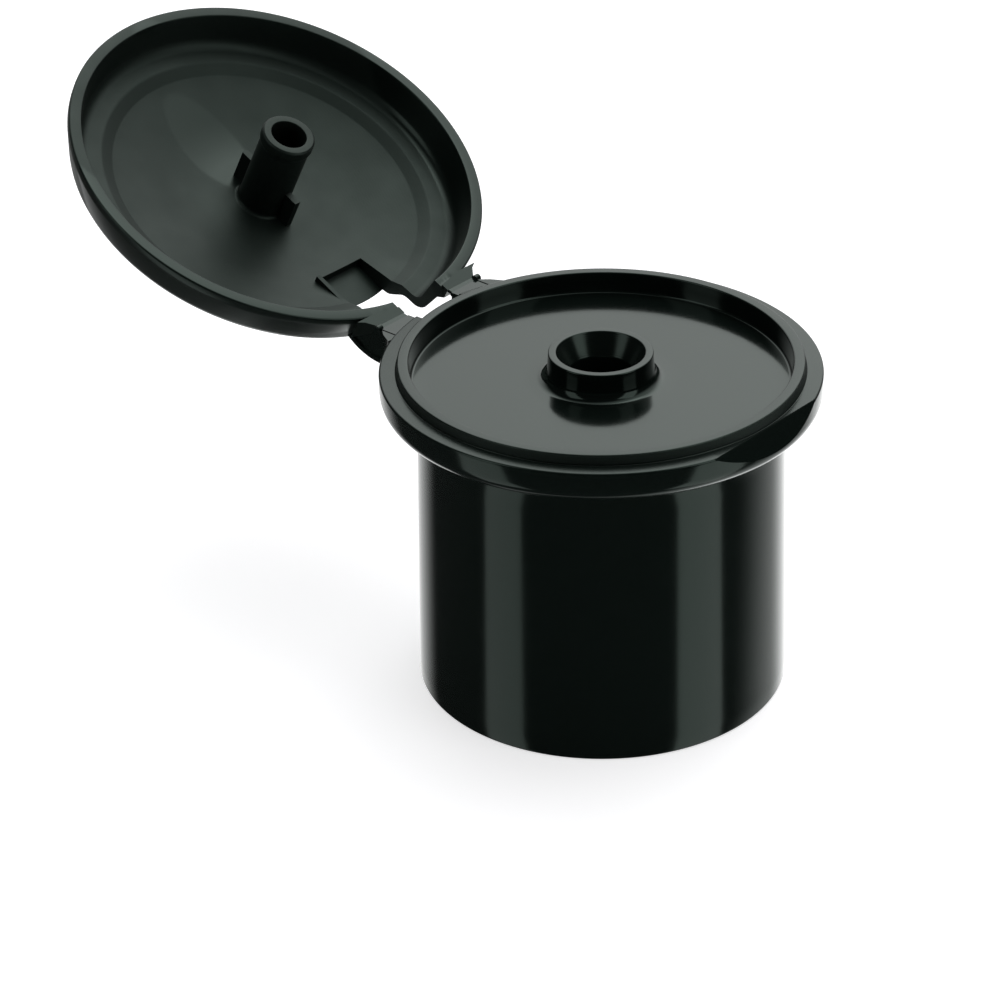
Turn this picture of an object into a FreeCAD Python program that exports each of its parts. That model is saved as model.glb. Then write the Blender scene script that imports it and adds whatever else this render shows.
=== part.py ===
import FreeCAD, Part
import math
import os

from FreeCAD import Vector

# A one-piece flip top closure, moulded open, in millimetres.
# Z is the neck's axis and Z = 0 is the skirt's mouth. The hinge is on the -X side
# with its axis along Y, and the thumb notch is on the +X side.

# Skirt that screws onto the neck
neck_bore_radius = 12.25
neck_bore_length = 19.20
neck_step = 0.35
skirt_radius = 13.70
skirt_draft = 0.40
mouth_round = 0.20

# Flange that carries the parting land, and the raised rim inside it
land_level = 24.80
flange_radius = 16.00
flange_depth = 2.50
flange_round = 1.30
flange_cove = 1.10
land_round = 0.18
rim_foot_radius = 14.80
rim_crest_radius = 14.64
rim_bore_radius = 13.85
rim_rise = 0.74
rim_round = 0.13

# Deck and spout
deck_drop = 0.86
deck_thickness = 1.24
deck_draft = 0.13
deck_round = 0.20
spout_height = 2.07
spout_radius = 3.79
spout_draft = 0.13
spout_flare = 0.78
spout_lip_width = 0.55
spout_lip_round = 0.11
funnel_depth = 1.61

# Ring under the deck that plugs the neck
seal_radius = 8.60
seal_wall = 0.90
seal_length = 3.20
seal_taper = 0.25
seal_round = 0.30

# Thumb notch in the flange
notch_chord = 14.90
notch_depth = 1.50
notch_run = 1.12

# Lid, measured from its own land towards its crown
lid_gap = 0.10
lid_radius = 16.35
lid_land_width = 0.95
lid_edge_round = 0.15
lid_band = 0.55
lid_band_round = 0.80
lid_wall_draft = 0.50
lid_shoulder_radius = 15.45
lid_shoulder_height = 3.42
lid_shoulder_round = 1.20
lid_shoulder_wall = 0.66
lid_step_foot_radius = 13.60
lid_step_top_radius = 12.40
lid_step_round = 1.00
dish_step_inset = 0.50
dish_step_round = 0.60
lid_cove = 0.90
crown_height = 5.80
crown_wall = 1.30
crown_radius = 63.80

# Plug that stops the spout, and the two fins that brace it
plug_radius = 2.065
plug_reach = 2.60
plug_bore_radius = 1.38
plug_bevel = 0.14
plug_head = 0.75
plug_stem_radius = 1.93
plug_bore_floor = 3.40
plug_root_round = 0.30
plug_fit = 0.10
fin_reach = 3.05
fin_thickness = 0.55
fin_start = 2.05

# Slot in the lid's hinge side, with a thin rib along one edge
slot_half_width = 2.35
slot_inner_end = 8.65
slot_floor_depth = 0.80
rib_thickness = 0.35
rib_rise = 0.45

# Hinge
hinge_offset = 16.73
hinge_drop = 0.116
open_angle = 152.6
film_span = 0.36
film_thickness = 0.26
tab_half_gap = 2.40
tab_thickness = 0.85
tab_root_inset = 0.70
tab_relief = 0.10
tab_end_half_width = 5.30
tab_flare_x = 15.80
tab_flare_y = 5.95
tab_root_half_width = 6.50
film_inset = 0.10
web_centre_y = 5.30
web_thickness = 0.26
web_bead_thickness = 0.52
web_bead_width = 0.38
web_root = 0.90
web_drop = 2.95
lid_web_height = 2.47
web_knob_radius = 0.28
web_knob_length = 0.35

# Levels and radii that follow from the sizes above
deck_level = land_level - deck_drop
deck_underside = deck_level - deck_thickness
flange_underside = land_level - flange_depth
rim_level = land_level + rim_rise
lip_level = deck_level + spout_height
funnel_foot_level = lip_level - funnel_depth
skirt_top_radius = skirt_radius - skirt_draft
lid_level = land_level + lid_gap
lid_land_bore = lid_radius - lid_land_width
axis_level = land_level - hinge_drop
plug_tip_level = lid_level - plug_reach
far = 60.0


def rounded_face(corners):
    """Close a chain of (r, z, corner radius) into a face in the XZ plane."""
    points = [Vector(r, 0, z) for r, z, radius in corners]
    count = len(points)
    spans = []
    for i, point in enumerate(points):
        back = points[i - 1] - point
        ahead = points[(i + 1) % count] - point
        radius = corners[i][2]
        turn = back.getAngle(ahead) / 2
        reach = 0.0
        if radius > 0 and turn < math.radians(89.9):
            reach = min(radius / math.tan(turn), 0.49 * back.Length, 0.49 * ahead.Length)
        start = point + back.normalize() * reach
        end = point + ahead.normalize() * reach
        middle = point
        if reach > 0:
            inward = (back + ahead).normalize()
            middle = point + inward * (reach / math.cos(turn) - reach * math.tan(turn))
        spans.append((start, middle, end, reach))
    edges = []
    for i, (start, middle, end, reach) in enumerate(spans):
        if reach > 0:
            edges.append(Part.Arc(start, middle, end).toShape())
        following = spans[(i + 1) % count][0]
        if (following - end).Length > 1e-6:
            edges.append(Part.LineSegment(end, following).toShape())
    return Part.Face(Part.Wire(edges))


def turned(corners):
    """Revolve a rounded chain about the closure's axis."""
    return rounded_face(corners).revolve(Vector(0, 0, 0), Vector(0, 0, 1), 360)


def block(low, high):
    """Box between two opposite corners."""
    size = [high[i] - low[i] for i in range(3)]
    return Part.makeBox(size[0], size[1], size[2], Vector(*low))


def side_prism(points, y_low, y_high):
    """Extrude a polygon of (x, z) points from y_low to y_high."""
    chain = [Vector(x, y_low, z) for x, z in points]
    face = Part.Face(Part.makePolygon(chain + chain[:1]))
    return face.extrude(Vector(0, y_high - y_low, 0))


def plan_prism(points, z_low, z_high):
    """Extrude a polygon of (x, y) points from z_low to z_high."""
    chain = [Vector(x, y, z_low) for x, y in points]
    face = Part.Face(Part.makePolygon(chain + chain[:1]))
    return face.extrude(Vector(0, 0, z_high - z_low))


def mirrored(shape):
    """Copy of a shape on the other side of the XZ plane."""
    return shape.mirror(Vector(0, 0, 0), Vector(0, 1, 0))


def swept_radius(level):
    """Radius that clears the plug's tip at a level while the lid swings shut."""
    tip_span = math.hypot(hinge_offset + plug_radius, axis_level - plug_tip_level)
    rise = axis_level - level
    return math.sqrt(tip_span ** 2 - rise ** 2) - hinge_offset + plug_fit


def opened(shape):
    """Swing a shape from the closed position to the moulded, open one."""
    copy = shape.copy()
    copy.rotate(Vector(-hinge_offset, 0, axis_level), Vector(0, -1, 0), open_angle)
    return copy


def opened_point(from_axis, height):
    """Place in the open pose of a lid point, given by its offset and height."""
    point = Vector(-from_axis, 0, lid_level + height)
    point = opened(Part.Vertex(point)).Point
    return (point.x, point.z)


def base_body():
    """Skirt, flange, raised rim, deck, spout and sealing ring as one section."""
    return turned([
        (neck_bore_radius, 0, 0),
        (skirt_radius, 0, mouth_round),
        (skirt_top_radius, flange_underside, flange_cove),
        (flange_radius, flange_underside, flange_round),
        (flange_radius, land_level, land_round),
        (rim_foot_radius, land_level, 0.05),
        (rim_crest_radius, rim_level, rim_round),
        (rim_bore_radius, rim_level, rim_round),
        (rim_bore_radius - deck_draft, deck_level, deck_round),
        (spout_radius + spout_draft, deck_level, spout_flare),
        (spout_radius, lip_level, spout_lip_round),
        (spout_radius - spout_lip_width, lip_level, spout_lip_round),
        (swept_radius(funnel_foot_level), funnel_foot_level, 0.20),
        (swept_radius(deck_underside), deck_underside, 0.10),
        (seal_radius - seal_wall, deck_underside, seal_round),
        (seal_radius - seal_wall, deck_underside - seal_length, 0.15),
        (seal_radius - seal_taper, deck_underside - seal_length, 0.30),
        (seal_radius, deck_underside, seal_round),
        (neck_bore_radius - neck_step, deck_underside, 0.60),
        (neck_bore_radius - neck_step, neck_bore_length, 0),
        (neck_bore_radius, neck_bore_length, 0),
    ])


def thumb_notch():
    """Sloping cut that gives a thumb a grip under the lid's edge."""
    top = land_level + rim_rise
    outer = flange_radius + 1.0
    slope = notch_depth / notch_run
    low = land_level - slope * (outer - notch_chord)
    points = [(notch_chord, top), (notch_chord, land_level), (outer, low), (outer, top)]
    return side_prism(points, -flange_radius, flange_radius)


def tab_plan(root_x):
    """Outline of one hinge tab from above, on the +Y side."""
    end_x = hinge_offset - film_span / 2
    return [
        (-root_x, tab_half_gap),
        (-end_x, tab_half_gap),
        (-end_x, tab_end_half_width),
        (-tab_flare_x, tab_flare_y),
        (-root_x, tab_root_half_width),
    ]


def base_tab():
    """Tab that carries the film on the flange, thick at its root."""
    root_x = flange_radius - 1.2
    end_x = hinge_offset - film_span / 2
    top = axis_level - lid_gap / 2
    bottom = flange_underside + tab_root_inset
    side = [
        (-root_x, top),
        (-end_x, top),
        (-end_x, top - tab_thickness),
        (-flange_radius + 0.4, bottom),
        (-root_x, bottom),
    ]
    plan = plan_prism(tab_plan(root_x), bottom - 1, top + 1)
    return plan.common(side_prism(side, 0, far))


def closure_body():
    """The base: everything that stays on the neck."""
    body = base_body()
    gap = block(
        (-far, -tab_half_gap, flange_underside - flange_cove),
        (-rim_foot_radius - 0.03, tab_half_gap, land_level + rim_rise),
    )
    tab = base_tab()
    body = body.fuse([tab, mirrored(tab)]).cut([gap, thumb_notch()])
    return body.removeSplitter()


def dome_drop(radius):
    """How far the dome falls from its crown at a radius."""
    return crown_radius - math.sqrt(crown_radius ** 2 - radius ** 2)


def lid_outside():
    """Outer section of the lid from its land's outer edge to the crown."""
    z = lid_level
    edge = lid_step_top_radius
    meet = crown_radius * math.tan(math.asin(edge / crown_radius) / 2)
    return [
        (lid_radius, z, lid_edge_round),
        (lid_radius, z + lid_band, lid_band_round),
        (lid_shoulder_radius, z + lid_shoulder_height, lid_shoulder_round),
        (lid_step_foot_radius, z + lid_shoulder_height + 0.06, lid_step_round),
        (edge, z + crown_height - dome_drop(edge), lid_step_round),
        (meet, z + crown_height, crown_radius),
        (0, z + crown_height, 0),
    ]


def lid_inside():
    """Inner section of the lid from the plug's bore to the land's inner edge."""
    z = lid_level
    dish = z + crown_height - crown_wall
    edge = lid_step_top_radius - dish_step_inset / 2
    meet = crown_radius * math.tan(math.asin(edge / crown_radius) / 2)
    shoulder = z + lid_shoulder_height - lid_shoulder_wall
    return [
        (0, z + plug_bore_floor, 0),
        (plug_bore_radius, z + plug_bore_floor, 0.20),
        (plug_bore_radius, plug_tip_level, 0.06),
        (plug_radius - plug_bevel, plug_tip_level, 0.05),
        (plug_radius, plug_tip_level + plug_bevel, 0.05),
        (plug_radius, plug_tip_level + plug_head, 0.30),
        (plug_stem_radius, plug_tip_level + plug_head + 0.35, 0.30),
        (plug_stem_radius, dish, plug_root_round),
        (meet, dish, crown_radius),
        (edge, dish - dome_drop(edge), dish_step_round),
        (lid_step_foot_radius - dish_step_inset, shoulder + 0.10, dish_step_round),
        (lid_land_bore - lid_wall_draft, shoulder, lid_cove),
        (lid_land_bore, z, 0.10),
    ]


def lid_fin():
    """Fin on the hinge side of the plug's stem."""
    top = lid_level + crown_height - crown_wall / 2
    inner = (plug_bore_radius + plug_stem_radius) / 2
    half = fin_thickness / 2
    return block((-fin_reach, -half, lid_level + fin_start), (-inner, half, top))


def lid_tab():
    """Tab on the lid that the film joins, on the +Y side."""
    root_x = lid_land_bore + 0.10
    end_x = hinge_offset - film_span / 2
    face = axis_level + lid_gap / 2
    side = [
        (-root_x, face),
        (-end_x, face),
        (-end_x, face + tab_thickness),
        (-root_x, face + 2.0 * tab_thickness),
    ]
    plan = plan_prism(tab_plan(root_x), face - 1, face + 3)
    relief = Part.makeCylinder(flange_radius + tab_relief, 1.0, Vector(0, 0, lid_level - 1.0))
    return plan.common(side_prism(side, 0, far)).cut(relief)


def lid():
    """The lid with its plug, slot and tabs, closed over the deck."""
    body = turned(lid_outside() + lid_inside())
    fin = lid_fin()
    other_fin = fin.mirror(Vector(0, 0, 0), Vector(1, 0, 0))
    tab = lid_tab()
    dish = lid_level + crown_height - crown_wall - dome_drop(slot_inner_end)
    slot = block(
        (-far, -slot_half_width, lid_level - 2),
        (-slot_inner_end, slot_half_width, dish + slot_floor_depth),
    )
    rib = block(
        (-lid_step_top_radius, -slot_half_width - rib_thickness, dish - rib_rise),
        (-slot_inner_end, -slot_half_width, dish + crown_wall / 3),
    )
    body = body.fuse([fin, other_fin, tab, mirrored(tab)]).cut(slot).fuse(rib)
    return body.removeSplitter()


def film():
    """Thin strip that joins the ends of a base tab and a lid tab, on the +Y side."""
    end_x = hinge_offset - film_span / 2
    face = lid_gap / 2
    lid_end = [(end_x, face + film_thickness), (end_x, face)]
    points = [(-end_x, axis_level - face), (-end_x, axis_level - face - film_thickness)]
    points = points + [opened_point(x, axis_level - lid_level + z) for x, z in lid_end]
    return side_prism(points, tab_half_gap + film_inset, tab_end_half_width)


def at_web(radius):
    """Distance from the neck's axis, in the web's plane, of a circle of this radius."""
    return math.sqrt(radius ** 2 - web_centre_y ** 2)


def web_region():
    """Side view of a web: from the hinge line, into the lid's wall, into the flange."""
    flange_x = at_web(flange_radius) - web_root
    shoulder = lid_shoulder_height
    lid_points = [
        (hinge_offset, axis_level - lid_level),
        (at_web(lid_radius - lid_land_width / 2), lid_band),
        (at_web(lid_shoulder_radius), shoulder / 2),
        (at_web(lid_shoulder_radius) - web_root / 2, shoulder - lid_shoulder_wall / 2),
        (at_web(lid_shoulder_radius), shoulder + 2 * web_drop),
    ]
    points = [opened_point(x, z) for x, z in lid_points]
    points.append((-flange_x, land_level - 2 * web_drop))
    points.append((-flange_x, axis_level))
    return points


def web_edge():
    """Centre and radius of the web's free edge, from the lid's wall to the flange."""
    lid_x, lid_z = opened_point(at_web(lid_shoulder_radius) - 0.17, lid_web_height)
    flange_x = at_web(flange_radius) - web_root
    ends = [
        Vector(lid_x, 0, lid_z),
        Vector(-hinge_offset, 0, land_level - web_drop),
        Vector(-flange_x, 0, flange_underside),
    ]
    circle = Part.Circle(ends[0], ends[1], ends[2])
    return circle.Center, circle.Radius


def disc(centre, radius, thickness):
    """Round plate in the web's plane."""
    base = Vector(centre.x, web_centre_y - thickness / 2, centre.z)
    return Part.makeCylinder(radius, thickness, base, Vector(0, 1, 0))


def hinge_half(base, cap):
    """Film and web on the +Y side, trimmed to the base and the open lid."""
    centre, radius = web_edge()
    region = side_prism(web_region(), 0, far)
    bead = disc(centre, radius, web_bead_thickness)
    bead = bead.cut(disc(centre, radius - web_bead_width, web_bead_thickness))
    plate = disc(centre, radius, web_thickness).fuse(bead).common(region)
    pin = Vector(-hinge_offset, tab_end_half_width - 0.1, axis_level - lid_gap / 2)
    knob = Part.makeCylinder(web_knob_radius, 0.1 + web_knob_length, pin, Vector(0, 1, 0))
    whole = plate.fuse([film(), knob]).cut([base, cap])
    whole = max(whole.Solids, key=lambda solid: solid.Volume)
    return whole.removeSplitter()


os.makedirs("parts", exist_ok=True)
base = closure_body()
cap = opened(lid())
left_hinge = hinge_half(base, cap)
base.exportStep("parts/closure_body.step")
cap.exportStep("parts/lid.step")
left_hinge.exportStep("parts/hinge_left.step")
mirrored(left_hinge).exportStep("parts/hinge_right.step")
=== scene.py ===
import math

import bmesh
import bpy
from mathutils import Matrix, Vector


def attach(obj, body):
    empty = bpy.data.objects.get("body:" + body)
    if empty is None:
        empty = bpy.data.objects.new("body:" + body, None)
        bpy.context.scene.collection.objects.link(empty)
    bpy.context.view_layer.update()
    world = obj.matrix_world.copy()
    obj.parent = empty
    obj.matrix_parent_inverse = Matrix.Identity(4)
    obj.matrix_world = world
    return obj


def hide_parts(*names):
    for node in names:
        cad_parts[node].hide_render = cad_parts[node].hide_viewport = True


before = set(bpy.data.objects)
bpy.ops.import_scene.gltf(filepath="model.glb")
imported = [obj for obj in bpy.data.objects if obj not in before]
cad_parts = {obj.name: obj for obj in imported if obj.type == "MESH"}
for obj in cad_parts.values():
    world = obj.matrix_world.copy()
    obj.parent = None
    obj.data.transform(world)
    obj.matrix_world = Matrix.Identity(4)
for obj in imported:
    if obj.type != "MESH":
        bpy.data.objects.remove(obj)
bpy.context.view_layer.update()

# ---------------------------------------------------------------------------
# Base: skirt, flange, rim, deck and spout
# One polypropylene moulding, gloss black with a faint green cast. The cavity was
# turned on a lathe, so every wall is round about the neck's axis. The deck and
# skirt are polished, the land is satin, and the rim's outside has a fine grain.
# ---------------------------------------------------------------------------

MM = 0.001
STEPS_ROUND = 288
GUIDE_RADIUS = 5
WELD_DISTANCE = 0.001
LONGEST_SPAN = 1.2
LONGEST_REACH = 0.49
ARC_DEGREES = 12
WIDE_ARC = 5
WIDE_ARC_STEPS = 40
CREASE_DEGREES = 32
OUTSIDE = 20

NECK_BORE = 12.25
SKIRT = 13.70
SKIRT_TOP = 13.30
FLANGE = 16.00
LAND = 24.80
FLANGE_UNDERSIDE = 22.30
RIM_FOOT = 14.80
RIM_CREST = 14.64
RIM_BORE = 13.85
RIM_TOP = 25.54
DECK = 23.94
DECK_UNDERSIDE = 22.70
SPOUT = 3.79
SPOUT_FOOT = 3.92
SPOUT_BORE = 3.24
LIP = 26.01
FUNNEL_FOOT = 24.40
ORIFICE_TOP = 2.313
ORIFICE_BOTTOM = 2.211
SEAL_OUTER = 8.60
SEAL_INNER = 7.70
SEAL_TIP = 19.50
SEAL_TAPER = 0.25
RIM_DRAFT = 0.13

HINGE_X = 16.73
HINGE_Z = 24.684
OPEN_ANGLE = math.radians(152.6)
LID_GAP = 0.10
TAB_GAP = 2.40
TAB_END = 16.55
TAB_HALF_WIDTH = 5.30
TAB_FLARE = (15.80, 5.95)
TAB_ROOT_WIDTH = 6.50
TAB_THICKNESS = 0.85
TAB_SUNK = 1.2
TAB_BRACE = 0.4
TAB_BRACE_RISE = 0.7
TAB_BLANK_WIDTH = 10
BASE_TAB_BLANK = (20, 26)
TAB_GAP_FLOOR = 21.2
TAB_GAP_CLEARANCE = 0.03


def rounded_chain(corners):
    """Points along a closed chain of (r, z, corner radius), with each corner rounded.

    A radius is cut down where a span beside it is too short to hold it.
    """
    points = []
    count = len(corners)
    for i, (r, z, radius) in enumerate(corners):
        corner = Vector((r, z))
        back = Vector(corners[i - 1][:2]) - corner
        ahead = Vector(corners[(i + 1) % count][:2]) - corner
        half = back.angle(ahead) / 2
        if radius <= 0 or half > math.radians(89.9):
            points.append(corner)
            continue
        longest = LONGEST_REACH * min(back.length, ahead.length)
        reach = min(radius / math.tan(half), longest)
        true_radius = reach * math.tan(half)
        start = corner + back.normalized() * reach
        centre = corner + (back.normalized() + ahead.normalized()).normalized() * (
            reach / math.cos(half)
        )
        sweep = math.pi - 2 * half
        steps = max(2, math.ceil(math.degrees(sweep) / ARC_DEGREES))
        if true_radius > WIDE_ARC:
            steps = WIDE_ARC_STEPS
        arm = start - centre
        side = 1 if back.cross(ahead) < 0 else -1
        for k in range(steps + 1):
            angle = side * sweep * k / steps
            turned = Vector((
                arm.x * math.cos(angle) - arm.y * math.sin(angle),
                arm.x * math.sin(angle) + arm.y * math.cos(angle),
            ))
            points.append(centre + turned)
    return points


def long_spans_divided(points, longest):
    """The closed chain with its long straight spans cut into shorter ones."""
    out = []
    for i, point in enumerate(points):
        following = points[(i + 1) % len(points)]
        pieces = max(1, math.ceil((following - point).length / longest))
        out += [point.lerp(following, k / pieces) for k in range(pieces)]
    return out


def turning_tree():
    """Node tree that turns a section, drawn as radius and height, about the neck's axis."""
    tree = bpy.data.node_groups.new("Turned moulding", "GeometryNodeTree")
    face = tree.interface
    face.new_socket("Geometry", in_out="INPUT", socket_type="NodeSocketGeometry")
    face.new_socket("Steps round", in_out="INPUT", socket_type="NodeSocketInt")
    face.new_socket("Guide radius", in_out="INPUT", socket_type="NodeSocketFloat")
    face.new_socket("Weld distance", in_out="INPUT", socket_type="NodeSocketFloat")
    face.new_socket("Material", in_out="INPUT", socket_type="NodeSocketMaterial")
    face.new_socket("Geometry", in_out="OUTPUT", socket_type="NodeSocketGeometry")
    new, link = tree.nodes.new, tree.links.new
    given = new("NodeGroupInput")
    section = new("GeometryNodeMeshToCurve")
    link(given.outputs["Geometry"], section.inputs["Mesh"])
    back = new("ShaderNodeMath")
    back.operation = "MULTIPLY"
    back.inputs[1].default_value = -1
    link(given.outputs["Guide radius"], back.inputs[0])
    shift = new("ShaderNodeCombineXYZ")
    link(back.outputs[0], shift.inputs["X"])
    moved = new("GeometryNodeTransform")
    link(section.outputs["Curve"], moved.inputs["Geometry"])
    link(shift.outputs["Vector"], moved.inputs["Translation"])
    moved.inputs["Scale"].default_value = (1, -1, 1)
    guide = new("GeometryNodeCurvePrimitiveCircle")
    guide.mode = "RADIUS"
    link(given.outputs["Steps round"], guide.inputs["Resolution"])
    link(given.outputs["Guide radius"], guide.inputs["Radius"])
    swept = new("GeometryNodeCurveToMesh")
    link(guide.outputs["Curve"], swept.inputs["Curve"])
    link(moved.outputs["Geometry"], swept.inputs["Profile Curve"])
    welded = new("GeometryNodeMergeByDistance")
    link(swept.outputs["Mesh"], welded.inputs["Geometry"])
    link(given.outputs["Weld distance"], welded.inputs["Distance"])
    real = new("GeometryNodeRealizeInstances")
    link(welded.outputs["Geometry"], real.inputs["Geometry"])
    finish = new("GeometryNodeSetMaterial")
    link(real.outputs["Geometry"], finish.inputs["Geometry"])
    link(given.outputs["Material"], finish.inputs["Material"])
    result = new("NodeGroupOutput")
    link(finish.outputs["Geometry"], result.inputs["Geometry"])
    return tree


def set_input(modifier, name, value):
    """Set a node tree's input on its modifier by the socket's identifier."""
    for item in modifier.node_group.interface.items_tree:
        if item.item_type == "SOCKET" and item.in_out == "INPUT" and item.name == name:
            modifier[item.identifier] = value


def plain_mesh(source, name):
    """Turn an object with live modifiers into a plain mesh with outward faces."""
    bpy.context.view_layer.update()
    graph = bpy.context.evaluated_depsgraph_get()
    mesh = bpy.data.meshes.new_from_object(source.evaluated_get(graph))
    mesh.name = name
    old = source.data
    source.modifiers.clear()
    source.data = mesh
    bpy.data.meshes.remove(old)
    work = bmesh.new()
    work.from_mesh(mesh)
    bmesh.ops.recalc_face_normals(work, faces=work.faces)
    work.to_mesh(mesh)
    work.free()
    return source


def new_object(name, mesh):
    """Object in the scene for a mesh."""
    piece = bpy.data.objects.new(name, mesh)
    bpy.context.collection.objects.link(piece)
    return piece


turning = turning_tree()


def turned(name, corners, material):
    """Piece turned about the neck's axis from a rounded section in millimetres."""
    chain = long_spans_divided(rounded_chain(corners), LONGEST_SPAN)
    mesh = bpy.data.meshes.new(name)
    edges = [(i, (i + 1) % len(chain)) for i in range(len(chain))]
    mesh.from_pydata([(p.x * MM, p.y * MM, 0) for p in chain], edges, [])
    piece = new_object(name, mesh)
    turn = piece.modifiers.new("Turned", "NODES")
    turn.node_group = turning
    set_input(turn, "Steps round", STEPS_ROUND)
    set_input(turn, "Guide radius", GUIDE_RADIUS * MM)
    set_input(turn, "Weld distance", WELD_DISTANCE * MM)
    set_input(turn, "Material", material)
    return plain_mesh(piece, name)


def prism(name, outline, place, low, high):
    """Closed prism: place(u, v, w) puts outline point (u, v) at extrusion height w."""
    work = bmesh.new()
    bottom = [work.verts.new(Vector(place(u, v, low)) * MM) for u, v in outline]
    top = [work.verts.new(Vector(place(u, v, high)) * MM) for u, v in outline]
    work.faces.new(bottom)
    work.faces.new(top)
    for i in range(len(outline)):
        j = (i + 1) % len(outline)
        work.faces.new([bottom[i], bottom[j], top[j], top[i]])
    bmesh.ops.recalc_face_normals(work, faces=work.faces)
    mesh = bpy.data.meshes.new(name)
    work.to_mesh(mesh)
    work.free()
    return new_object(name, mesh)


def from_above(u, v, w):
    """Outline given in plan, extruded upwards."""
    return (u, v, w)


def from_side(u, v, w):
    """Outline given as a side view, extruded across the hinge."""
    return (u, w, v)


def combined(piece, tool, operation):
    """Fuse, cut or intersect a piece with a tool, which is used up."""
    step = piece.modifiers.new(operation, "BOOLEAN")
    step.operation = operation
    step.solver = "EXACT"
    step.object = tool
    plain_mesh(piece, piece.name)
    bpy.data.objects.remove(tool)
    return piece


def smoothed(piece):
    """Smooth shading that keeps true edges sharp."""
    mesh = piece.data
    mesh.shade_smooth()
    mesh.set_sharp_from_angle(angle=math.radians(CREASE_DEGREES))
    weights = piece.modifiers.new("Even shading", "WEIGHTED_NORMAL")
    weights.keep_sharp = True
    return piece


def tab_outline(root):
    """Hinge tab from above, on the +Y side."""
    return [
        (-root, TAB_GAP),
        (-TAB_END, TAB_GAP),
        (-TAB_END, TAB_HALF_WIDTH),
        (-TAB_FLARE[0], TAB_FLARE[1]),
        (-root, TAB_ROOT_WIDTH),
    ]


def tab(name, root, side, low, high):
    """Hinge tab as its plan cut to its side view, on the +Y side."""
    piece = prism(name, tab_outline(root), from_above, low, high)
    return combined(piece, prism("side", side, from_side, 0, TAB_BLANK_WIDTH), "INTERSECT")


def other_side(piece):
    """Copy of a piece on the other side of the hinge's middle."""
    mesh = piece.data.copy()
    mesh.transform(Matrix.Scale(-1, 4, (0, 1, 0)))
    work = bmesh.new()
    work.from_mesh(mesh)
    bmesh.ops.recalc_face_normals(work, faces=work.faces)
    work.to_mesh(mesh)
    work.free()
    return new_object(piece.name + "_mirrored", mesh)


class Wire:
    """A socket in a node tree that can be written into an expression."""

    def __init__(self, tree, socket):
        self.tree = tree
        self.socket = socket

    def math(self, operation, first, second=None):
        values = [value for value in (first, second) if value is not None]
        settings = {"operation": operation}
        return node(self.tree, "ShaderNodeMath", settings, dict(enumerate(values)))

    def __add__(self, other):
        return self.math("ADD", self, other)

    __radd__ = __add__

    def __rsub__(self, other):
        return self.math("SUBTRACT", other, self)

    def __mul__(self, other):
        return self.math("MULTIPLY", self, other)

    __rmul__ = __mul__

    def __pow__(self, other):
        return self.math("POWER", self, other)

    def sine(self):
        return self.math("SINE", self)


def node(tree, kind, settings, inputs, output=0):
    """Add a node: its settings first, then the values or links of its sockets."""
    made = tree.nodes.new(kind)
    for name, value in settings.items():
        setattr(made, name, value)
    for name, value in inputs.items():
        if isinstance(value, Wire):
            tree.links.new(value.socket, made.inputs[name])
        else:
            made.inputs[name].default_value = value
    return Wire(tree, made.outputs[output])


def ramp(value, low, high, start=0.0, end=1.0):
    """Smooth step of a value from start, at low, to end, at high."""
    return node(value.tree, "ShaderNodeMapRange", {"interpolation_type": "SMOOTHSTEP"}, {
        "Value": value, "From Min": low, "From Max": high, "To Min": start, "To Max": end,
    })


def band(value, low, high, edge):
    """One between low and high, falling to nought over the edge's width."""
    return ramp(value, low - edge, low) * (1 - ramp(value, high, high + edge))


def noise(tree, place, scale, detail=2.0, rough=0.5):
    """Noise in cycles to the millimetre."""
    return node(tree, "ShaderNodeTexNoise", {}, {
        "Vector": place, "Scale": scale, "Detail": detail, "Roughness": rough,
    })


def place_in_mm(tree, turn=0.0, pivot_x=0.0, pivot_z=0.0):
    """Object coordinates in millimetres, turned back about the hinge by an angle."""
    place = node(tree, "ShaderNodeTexCoord", {}, {}, "Object")
    c, s = math.cos(turn), math.sin(turn)
    shift = (
        pivot_x - (c * pivot_x + s * pivot_z),
        0,
        pivot_z - (c * pivot_z - s * pivot_x),
    )
    return node(tree, "ShaderNodeMapping", {"vector_type": "POINT"}, {
        "Vector": place,
        "Scale": (1 / MM, 1 / MM, 1 / MM),
        "Rotation": (0, turn, 0),
        "Location": shift,
    })


def height_and_radius(place):
    """Height of a place and its distance from the neck's axis."""
    x, y, z = [
        node(place.tree, "ShaderNodeSeparateXYZ", {}, {"Vector": place}, axis) for axis in "XYZ"
    ]
    return z, (x * x + y * y) ** 0.5


BLACK = (0.0030, 0.0050, 0.0042, 1)
GREEN_TINT = (0.76, 1.0, 0.88, 1)
REFRACTION = 1.49
POLISHED = 0.10
CLOUDED = 0.05
SATIN = 0.14
GRAINED = 0.28
FUNNEL_ROUGH = 0.06
FUNNEL_FEED = 0.13
GRAIN_DEPTH = 0.030
TURNING_DEPTH = 0.0022
SKIN_DEPTH = 0.0012
SKIN_SCALE = 1.6


def moulded_plastic(material, roughness, height):
    """Black plastic with a given roughness and a height map in millimetres."""
    tree = material.node_tree
    shader = tree.nodes["Principled BSDF"]
    shader.inputs["Base Color"].default_value = BLACK
    shader.inputs["IOR"].default_value = REFRACTION
    shader.inputs["Specular Tint"].default_value = GREEN_TINT
    tree.links.new(roughness.socket, shader.inputs["Roughness"])
    bump = node(tree, "ShaderNodeBump", {}, {
        "Height": height, "Strength": 1.0, "Distance": MM,
    })
    tree.links.new(bump.socket, shader.inputs["Normal"])


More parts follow.
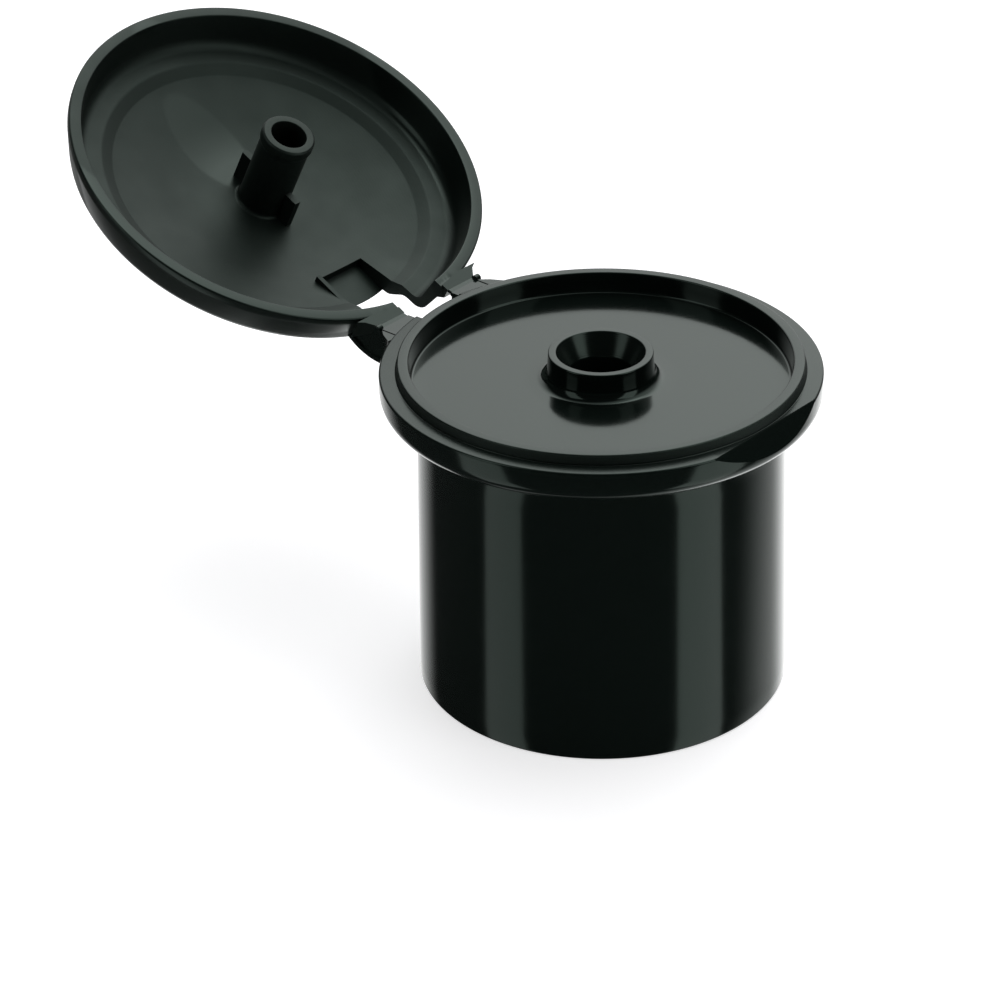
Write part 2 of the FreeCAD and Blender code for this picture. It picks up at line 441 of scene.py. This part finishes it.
def base_finish(material):
    """Polished deck, spout and skirt, satin land, grained rim and a turned funnel."""
    tree = material.node_tree
    place = place_in_mm(tree)
    z, radius = height_and_radius(place)
    grained = band(radius, RIM_CREST - 0.02, RIM_FOOT + 0.03, 0.04)
    grained = grained * band(z, LAND + 0.10, RIM_TOP - 0.10, 0.05)
    satin = ramp(z, LAND - 0.10, LAND - 0.02) * ramp(radius, RIM_BORE - 0.05, RIM_BORE + 0.02)
    funnel = (1 - ramp(radius, SPOUT_BORE - 0.02, SPOUT_BORE + 0.04)) * ramp(
        z, DECK_UNDERSIDE, FUNNEL_FOOT
    )
    cloud = noise(tree, place, 0.25)
    roughness = POLISHED + CLOUDED * cloud + SATIN * satin + GRAINED * grained + FUNNEL_ROUGH * funnel
    grain = noise(tree, place, 9.0, 3.0, 0.6)
    turning_marks = (z * (2 * math.pi / FUNNEL_FEED)).sine()
    height = GRAIN_DEPTH * grain * grained + TURNING_DEPTH * turning_marks * funnel
    height = height + SKIN_DEPTH * noise(tree, place, SKIN_SCALE)
    moulded_plastic(material, roughness, height)


black = bpy.data.materials.new("black_polypropylene")
black.use_nodes = True
base_finish(black)

base = turned("base_moulding", [
    (NECK_BORE, 0, 0),
    (SKIRT, 0, 0.20),
    (SKIRT_TOP, FLANGE_UNDERSIDE, 1.10),
    (FLANGE, FLANGE_UNDERSIDE, 1.30),
    (FLANGE, LAND, 0.18),
    (RIM_FOOT, LAND, 0.05),
    (RIM_CREST, RIM_TOP, 0.13),
    (RIM_BORE, RIM_TOP, 0.13),
    (RIM_BORE - RIM_DRAFT, DECK, 0.20),
    (SPOUT_FOOT, DECK, 0.78),
    (SPOUT, LIP, 0.11),
    (SPOUT_BORE, LIP, 0.11),
    (ORIFICE_TOP, FUNNEL_FOOT, 0.20),
    (ORIFICE_BOTTOM, DECK_UNDERSIDE, 0.10),
    (SEAL_INNER, DECK_UNDERSIDE, 0.30),
    (SEAL_INNER, SEAL_TIP, 0.15),
    (SEAL_OUTER - SEAL_TAPER, SEAL_TIP, 0.30),
    (SEAL_OUTER, DECK_UNDERSIDE, 0.30),
    (NECK_BORE, DECK_UNDERSIDE, 0.60),
], black)

tab_face = HINGE_Z - LID_GAP / 2
base_tab = tab("base_tab", FLANGE - TAB_SUNK, [
    (-FLANGE + TAB_SUNK, tab_face),
    (-TAB_END, tab_face),
    (-TAB_END, tab_face - TAB_THICKNESS),
    (-FLANGE + TAB_BRACE, FLANGE_UNDERSIDE + TAB_BRACE_RISE),
    (-FLANGE + TAB_SUNK, FLANGE_UNDERSIDE + TAB_BRACE_RISE),
], *BASE_TAB_BLANK)
combined(base, other_side(base_tab), "UNION")
combined(base, base_tab, "UNION")

gap_edge = RIM_FOOT + TAB_GAP_CLEARANCE
gap = [
    (-OUTSIDE, -TAB_GAP), (-gap_edge, -TAB_GAP), (-gap_edge, TAB_GAP), (-OUTSIDE, TAB_GAP),
]
combined(base, prism("gap", gap, from_above, TAB_GAP_FLOOR, RIM_TOP), "DIFFERENCE")

NOTCH_CHORD = 14.90
NOTCH_SLOPE = 1.50 / 1.12
NOTCH_END = 17
NOTCH_HALF_WIDTH = 16
notch_low = LAND - NOTCH_SLOPE * (NOTCH_END - NOTCH_CHORD)
notch = [
    (NOTCH_CHORD, RIM_TOP), (NOTCH_CHORD, LAND), (NOTCH_END, notch_low), (NOTCH_END, RIM_TOP),
]
combined(base, prism("notch", notch, from_side, -NOTCH_HALF_WIDTH, NOTCH_HALF_WIDTH), "DIFFERENCE")

smoothed(base)
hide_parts("closure_body")
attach(base, "base")

# ---------------------------------------------------------------------------
# Neck thread: a rounded ridge moulded inside the skirt, a turn and a half of
# eight threads to the inch, with ends that run out into the wall.
# ---------------------------------------------------------------------------

THREAD_PITCH = 3.175
THREAD_TURNS = 1.6
THREAD_START = 3.2
THREAD_DEPTH = 0.95
THREAD_ROOT = 1.55
THREAD_CREST = 0.65
THREAD_SUNK = 0.15
THREAD_STEPS = 96
THREAD_RUNOUT = 0.06
THREAD_END_SCALE = 0.02


def thread_tree():
    """Node tree that sweeps a ridge along a helix and tapers it at both ends."""
    tree = bpy.data.node_groups.new("Thread", "GeometryNodeTree")
    face = tree.interface
    face.new_socket("Geometry", in_out="INPUT", socket_type="NodeSocketGeometry")
    for name in ("Radius", "Pitch", "Turns", "Start"):
        face.new_socket(name, in_out="INPUT", socket_type="NodeSocketFloat")
    face.new_socket("Material", in_out="INPUT", socket_type="NodeSocketMaterial")
    face.new_socket("Geometry", in_out="OUTPUT", socket_type="NodeSocketGeometry")
    new, link = tree.nodes.new, tree.links.new
    given = new("NodeGroupInput")
    helix = new("GeometryNodeCurveSpiral")
    helix.inputs["Resolution"].default_value = THREAD_STEPS
    link(given.outputs["Turns"], helix.inputs["Rotations"])
    link(given.outputs["Radius"], helix.inputs["Start Radius"])
    link(given.outputs["Radius"], helix.inputs["End Radius"])
    rise = new("ShaderNodeMath")
    rise.operation = "MULTIPLY"
    link(given.outputs["Pitch"], rise.inputs[0])
    link(given.outputs["Turns"], rise.inputs[1])
    link(rise.outputs[0], helix.inputs["Height"])
    lift = new("ShaderNodeCombineXYZ")
    link(given.outputs["Start"], lift.inputs["Z"])
    placed = new("GeometryNodeTransform")
    link(helix.outputs["Curve"], placed.inputs["Geometry"])
    link(lift.outputs["Vector"], placed.inputs["Translation"])
    upright = new("GeometryNodeSetCurveNormal")
    upright.mode = "Z_UP"
    link(placed.outputs["Geometry"], upright.inputs["Curve"])
    section = new("GeometryNodeMeshToCurve")
    link(given.outputs["Geometry"], section.inputs["Mesh"])
    along = new("GeometryNodeSplineParameter")
    away = new("ShaderNodeMath")
    away.operation = "SUBTRACT"
    away.inputs[0].default_value = 1
    link(along.outputs["Factor"], away.inputs[1])
    nearest = new("ShaderNodeMath")
    nearest.operation = "MINIMUM"
    link(along.outputs["Factor"], nearest.inputs[0])
    link(away.outputs[0], nearest.inputs[1])
    taper = new("ShaderNodeMapRange")
    taper.inputs["From Max"].default_value = THREAD_RUNOUT
    taper.inputs["To Min"].default_value = THREAD_END_SCALE
    link(nearest.outputs[0], taper.inputs["Value"])
    sized = new("GeometryNodeSetCurveRadius")
    link(upright.outputs["Curve"], sized.inputs["Curve"])
    link(taper.outputs["Result"], sized.inputs["Radius"])
    swept = new("GeometryNodeCurveToMesh")
    swept.inputs["Fill Caps"].default_value = True
    link(sized.outputs["Curve"], swept.inputs["Curve"])
    link(section.outputs["Curve"], swept.inputs["Profile Curve"])
    link(taper.outputs["Result"], swept.inputs["Scale"])
    real = new("GeometryNodeRealizeInstances")
    link(swept.outputs["Mesh"], real.inputs["Geometry"])
    finish = new("GeometryNodeSetMaterial")
    link(real.outputs["Geometry"], finish.inputs["Geometry"])
    link(given.outputs["Material"], finish.inputs["Material"])
    result = new("NodeGroupOutput")
    link(finish.outputs["Geometry"], result.inputs["Geometry"])
    return tree


def neck_thread():
    """The ridge's section, swept by the node tree."""
    ridge = rounded_chain([
        (THREAD_SUNK, -THREAD_ROOT / 2, 0),
        (0, -THREAD_ROOT / 2, 0),
        (-THREAD_DEPTH, -THREAD_CREST / 2, 0.20),
        (-THREAD_DEPTH, THREAD_CREST / 2, 0.20),
        (0, THREAD_ROOT / 2, 0),
        (THREAD_SUNK, THREAD_ROOT / 2, 0),
    ])
    mesh = bpy.data.meshes.new("neck_thread")
    edges = [(i, (i + 1) % len(ridge)) for i in range(len(ridge))]
    mesh.from_pydata([(p.x * MM, p.y * MM, 0) for p in ridge], edges, [])
    piece = new_object("neck_thread", mesh)
    sweep = piece.modifiers.new("Thread", "NODES")
    sweep.node_group = thread_tree()
    set_input(sweep, "Radius", NECK_BORE * MM)
    set_input(sweep, "Pitch", THREAD_PITCH * MM)
    set_input(sweep, "Turns", THREAD_TURNS)
    set_input(sweep, "Start", THREAD_START * MM)
    set_input(sweep, "Material", black)
    return plain_mesh(piece, "neck_thread")


thread = smoothed(neck_thread())
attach(thread, "base")

# ---------------------------------------------------------------------------
# Lid: the same moulding, a shallow dome with a stepped shoulder. The hollow
# plug stops the spout, and two fins brace it. The dish is satin with faint
# turning marks, and the outside is polished.
# ---------------------------------------------------------------------------

LID = 16.35
LID_Z = LAND + LID_GAP
LID_LAND_BORE = 15.40
SHOULDER = 15.45
SHOULDER_HEIGHT = 3.42
STEP_FOOT = 13.60
STEP_TOP = 12.40
CROWN = 5.80
CROWN_WALL = 1.30
DOME = 63.80
PLUG = 2.065
PLUG_BORE = 1.38
PLUG_STEM = 1.93
PLUG_TIP = -2.60
PLUG_HEAD = 0.75
FIN_REACH = 3.05
FIN_THICKNESS = 0.55
FIN_START = 2.05
SLOT_HALF_WIDTH = 2.35
SLOT_END = 8.65
SLOT_DEPTH = 0.80
RIB_THICKNESS = 0.35
RIB_RISE = 0.45
LID_LAND_RISE = 0.55
STEP_RISE = 0.06
SHOULDER_WALL = 0.66
WALL_DRAFT = 0.50
DISH_INSET = 0.25
PLUG_HOLLOW_TOP = 3.40
PLUG_LEAD = 0.14
PLUG_NECKING = 0.35
FIN_ROOT = 1.65
FIN_TOP_INSET = 0.65
LID_TAB_SUNK = 0.10
LID_TAB_BLANK = (24, 28)
RELIEF_FOOT = 23.9
RELIEF_CLEARANCE = 0.10
SLOT_FOOT = 2


def dome_drop(radius):
    """How far the dome falls from its crown at a radius."""
    return DOME - math.sqrt(DOME ** 2 - radius ** 2)


def dome_meet(radius):
    """Radius at which the crown's tangent meets the tangent at an edge."""
    return DOME * math.tan(math.asin(radius / DOME) / 2)


dish = CROWN - CROWN_WALL
dish_edge = STEP_TOP - DISH_INSET
shoulder_inside = SHOULDER_HEIGHT - SHOULDER_WALL
lid_section = [
    (LID, 0, 0.15),
    (LID, LID_LAND_RISE, 0.80),
    (SHOULDER, SHOULDER_HEIGHT, 1.20),
    (STEP_FOOT, SHOULDER_HEIGHT + STEP_RISE, 1.00),
    (STEP_TOP, CROWN - dome_drop(STEP_TOP), 1.00),
    (dome_meet(STEP_TOP), CROWN, DOME),
    (0, CROWN, 0),
    (0, PLUG_HOLLOW_TOP, 0),
    (PLUG_BORE, PLUG_HOLLOW_TOP, 0.20),
    (PLUG_BORE, PLUG_TIP, 0.06),
    (PLUG - PLUG_LEAD, PLUG_TIP, 0.05),
    (PLUG, PLUG_TIP + PLUG_LEAD, 0.05),
    (PLUG, PLUG_TIP + PLUG_HEAD, 0.30),
    (PLUG_STEM, PLUG_TIP + PLUG_HEAD + PLUG_NECKING, 0.30),
    (PLUG_STEM, dish, 0.30),
    (dome_meet(dish_edge), dish, DOME),
    (dish_edge, dish - dome_drop(dish_edge), 0.60),
    (STEP_FOOT - WALL_DRAFT, shoulder_inside + 0.10, 0.60),
    (LID_LAND_BORE - WALL_DRAFT, shoulder_inside, 0.90),
    (LID_LAND_BORE, 0, 0.10),
]
lid = turned("lid_moulding", [(r, LID_Z + z, radius) for r, z, radius in lid_section], black)

half = FIN_THICKNESS / 2
for name, near, away in (("fin_hinge", -FIN_ROOT, -FIN_REACH), ("fin_front", FIN_ROOT, FIN_REACH)):
    outline = [(near, -half), (away, -half), (away, half), (near, half)]
    fin = prism(name, outline, from_above, LID_Z + FIN_START, LID_Z + CROWN - FIN_TOP_INSET)
    combined(lid, fin, "UNION")

lid_face = HINGE_Z + LID_GAP / 2
lid_tab = tab("lid_tab", LID_LAND_BORE + LID_TAB_SUNK, [
    (-LID_LAND_BORE - LID_TAB_SUNK, lid_face),
    (-TAB_END, lid_face),
    (-TAB_END, lid_face + TAB_THICKNESS),
    (-LID_LAND_BORE - LID_TAB_SUNK, lid_face + 2 * TAB_THICKNESS),
], *LID_TAB_BLANK)
relief_edge = FLANGE + RELIEF_CLEARANCE
relief = turned("relief", [
    (0, RELIEF_FOOT, 0), (relief_edge, RELIEF_FOOT, 0), (relief_edge, LID_Z, 0), (0, LID_Z, 0),
], black)
combined(lid_tab, relief, "DIFFERENCE")
combined(lid, other_side(lid_tab), "UNION")
combined(lid, lid_tab, "UNION")

slot_dish = LID_Z + dish - dome_drop(SLOT_END)
reach = SLOT_HALF_WIDTH
slot = [(-OUTSIDE, -reach), (-SLOT_END, -reach), (-SLOT_END, reach), (-OUTSIDE, reach)]
tool = prism("slot", slot, from_above, LID_Z - SLOT_FOOT, slot_dish + SLOT_DEPTH)
combined(lid, tool, "DIFFERENCE")
outer = -reach - RIB_THICKNESS
rib = [(-STEP_TOP, outer), (-SLOT_END, outer), (-SLOT_END, -reach), (-STEP_TOP, -reach)]
tool = prism("rib", rib, from_above, slot_dish - RIB_RISE, slot_dish + CROWN_WALL / 3)
combined(lid, tool, "UNION")

pivot = Vector((-HINGE_X, 0, HINGE_Z)) * MM
swing = (
    Matrix.Translation(pivot)
    @ Matrix.Rotation(OPEN_ANGLE, 4, Vector((0, -1, 0)))
    @ Matrix.Translation(-pivot)
)
lid.data.transform(swing)
smoothed(lid)
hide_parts("lid")
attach(lid, "lid")


LID_POLISHED = 0.12
DISH_SATIN = 0.20
LID_LAND_SATIN = 0.16
DISH_FEED = 0.21
SCRATCH_DEPTH = 0.0035
DISH_MARK_DEPTH = 0.0004


def lid_finish(material):
    """Satin dish with faint turning marks, under a polished outside."""
    tree = material.node_tree
    place = place_in_mm(tree, -OPEN_ANGLE, -HINGE_X, HINGE_Z)
    z, radius = height_and_radius(place)
    inside = 1 - ramp(radius, LID_LAND_BORE - 0.4, LID_LAND_BORE)
    below = 1 - ramp(z, LID_Z + dish + 0.1, LID_Z + dish + 0.4)
    dish_face = inside * below * ramp(radius, PLUG + 0.1, PLUG + 0.6)
    land_face = 1 - ramp(z, LID_Z + 0.02, LID_Z + 0.10)
    cloud = noise(tree, place, 0.35, 3.0)
    streaks = node(tree, "ShaderNodeMapping", {}, {
        "Vector": place, "Rotation": (0, 0, 0.6), "Scale": (0.35, 5.0, 0.35),
    })
    scratches = noise(tree, streaks, 1.0, 4.0, 0.65)
    satin = DISH_SATIN * dish_face * (0.6 + 0.8 * cloud)
    roughness = LID_POLISHED + satin + LID_LAND_SATIN * land_face
    marks = (radius * (2 * math.pi / DISH_FEED)).sine()
    height = dish_face * (SCRATCH_DEPTH * scratches + DISH_MARK_DEPTH * marks)
    height = height + SKIN_DEPTH * noise(tree, place, SKIN_SCALE)
    moulded_plastic(material, roughness, height)


lid_black = bpy.data.materials.new("black_polypropylene_lid")
lid_black.use_nodes = True
lid_finish(lid_black)
lid.data.materials.clear()
lid.data.materials.append(lid_black)

# ---------------------------------------------------------------------------
# Living hinge: a film strip and a web on each side, flexing parts of the same
# moulding. The web has a thick bead along its free edge.
# ---------------------------------------------------------------------------

for name in ("hinge_left", "hinge_right"):
    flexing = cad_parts[name]
    flexing.data.materials.clear()
    flexing.data.materials.append(black)

# ---------------------------------------------------------------------------
# Studio: a white floor and backdrop, soft boxes on both sides and overhead, and
# the camera. To glossy rays the floor is polished, so it reflects the room.
# ---------------------------------------------------------------------------

AZIMUTH = math.radians(41.70)
ELEVATION = math.radians(29.50)
ROLL = math.radians(-1.20)
DISTANCE = 277.6
SIDE_SHIFT = -7.70
RISE_SHIFT = 11.97
LENS = 132.9
ROOM_LEVEL = 0.02
FLOOR_GLOW = 0.62
LAMP_AIM_HEIGHT = 20


def bearing(turn, rise):
    """Direction at a bearing from the camera's own and a height, in degrees."""
    turn = AZIMUTH + math.radians(turn)
    rise = math.radians(rise)
    return Vector((
        math.sin(turn) * math.cos(rise), -math.cos(turn) * math.cos(rise), math.sin(rise),
    ))


world = bpy.data.worlds.new("studio")
bpy.context.scene.world = world
world.use_nodes = True
tree = world.node_tree
tree.nodes.clear()
direction = node(tree, "ShaderNodeTexCoord", {}, {}, "Generated")


def glow(turn, rise, inner, outer, level):
    """Soft round patch of light in the room, by its place and its two radii in degrees."""
    facing = node(tree, "ShaderNodeVectorMath", {"operation": "DOT_PRODUCT"}, {
        0: direction, 1: bearing(turn, rise),
    }, "Value")
    return level * ramp(facing, math.cos(math.radians(outer)), math.cos(math.radians(inner)))


room_light = ROOM_LEVEL + glow(180, 26, 14, 46, 1.10) + glow(146, 56, 20, 48, 0.95)
room_light = room_light + glow(148, 62, 3, 16, 1.6)
seen = node(tree, "ShaderNodeLightPath", {}, {}, "Is Camera Ray")
strength = room_light * (1 - seen) + seen
studio = node(tree, "ShaderNodeBackground", {}, {"Color": (1, 1, 1, 1), "Strength": strength})
out = tree.nodes.new("ShaderNodeOutputWorld")
tree.links.new(studio.socket, out.inputs["Surface"])

FLOOR_HALF = 1200
corners = [(-FLOOR_HALF, -FLOOR_HALF), (FLOOR_HALF, -FLOOR_HALF)]
corners += [(FLOOR_HALF, FLOOR_HALF), (-FLOOR_HALF, FLOOR_HALF)]
mesh = bpy.data.meshes.new("floor")
mesh.from_pydata([(u * MM, v * MM, 0) for u, v in corners], [], [(0, 1, 2, 3)])
floor = new_object("floor", mesh)
sheet = bpy.data.materials.new("white_floor")
sheet.use_nodes = True
tree = sheet.node_tree
tree.nodes.clear()
paper = node(tree, "ShaderNodeBsdfDiffuse", {}, {"Color": (0.75, 0.75, 0.77, 1)})
lit = node(tree, "ShaderNodeEmission", {}, {"Color": (1, 1, 1, 1), "Strength": FLOOR_GLOW})
pale = node(tree, "ShaderNodeAddShader", {}, {0: paper, 1: lit})
polished = node(tree, "ShaderNodeBsdfAnisotropic", {}, {
    "Color": (0.9, 0.9, 0.9, 1), "Roughness": 0.05,
})
glossy_ray = node(tree, "ShaderNodeLightPath", {}, {}, "Is Glossy Ray")
surface = node(tree, "ShaderNodeMixShader", {}, {0: glossy_ray, 1: pale, 2: polished})
out = tree.nodes.new("ShaderNodeOutputMaterial")
tree.links.new(surface.socket, out.inputs["Surface"])
mesh.materials.append(sheet)


def softbox(name, turn, rise, distance, width, height, level, mirrored=True):
    """Rectangular lamp of a given level that faces the spout."""
    away = bearing(turn, rise)
    lamp = bpy.data.lights.new(name, "AREA")
    lamp.shape = "RECTANGLE"
    lamp.size, lamp.size_y = width, height
    lamp.energy = level * width * height * math.pi
    piece = bpy.data.objects.new(name, lamp)
    bpy.context.collection.objects.link(piece)
    piece.location = Vector((0, 0, LAMP_AIM_HEIGHT * MM)) + away * distance
    piece.rotation_euler = away.to_track_quat("Z", "Y").to_euler()
    piece.visible_glossy = mirrored


softbox("left_strip", -65, 30, 0.6, 0.25, 0.55, 0.8)
softbox("right_strip", 61, 30, 0.6, 0.30, 0.55, 1.1)
softbox("fill", 150, 80, 0.8, 0.9, 0.9, 1.3, mirrored=False)

right = Vector((math.cos(AZIMUTH), math.sin(AZIMUTH), 0))
back = Vector((
    math.sin(AZIMUTH) * math.cos(ELEVATION),
    -math.cos(AZIMUTH) * math.cos(ELEVATION),
    math.sin(ELEVATION),
))
up = back.cross(right)
right_rolled = right * math.cos(ROLL) + up * math.sin(ROLL)
up_rolled = up * math.cos(ROLL) - right * math.sin(ROLL)
turn = Matrix((right_rolled, up_rolled, back)).transposed().to_4x4()
spot = (back * DISTANCE + right_rolled * SIDE_SHIFT + up_rolled * RISE_SHIFT) * MM
lens = bpy.data.cameras.new("camera")
lens.lens = LENS
lens.sensor_width = 36
lens.clip_start, lens.clip_end = 0.01, 20
camera = bpy.data.objects.new("camera", lens)
bpy.context.collection.objects.link(camera)
camera.matrix_world = Matrix.Translation(spot) @ turn
bpy.context.scene.camera = camera
bpy.context.scene.view_settings.view_transform = "Standard"
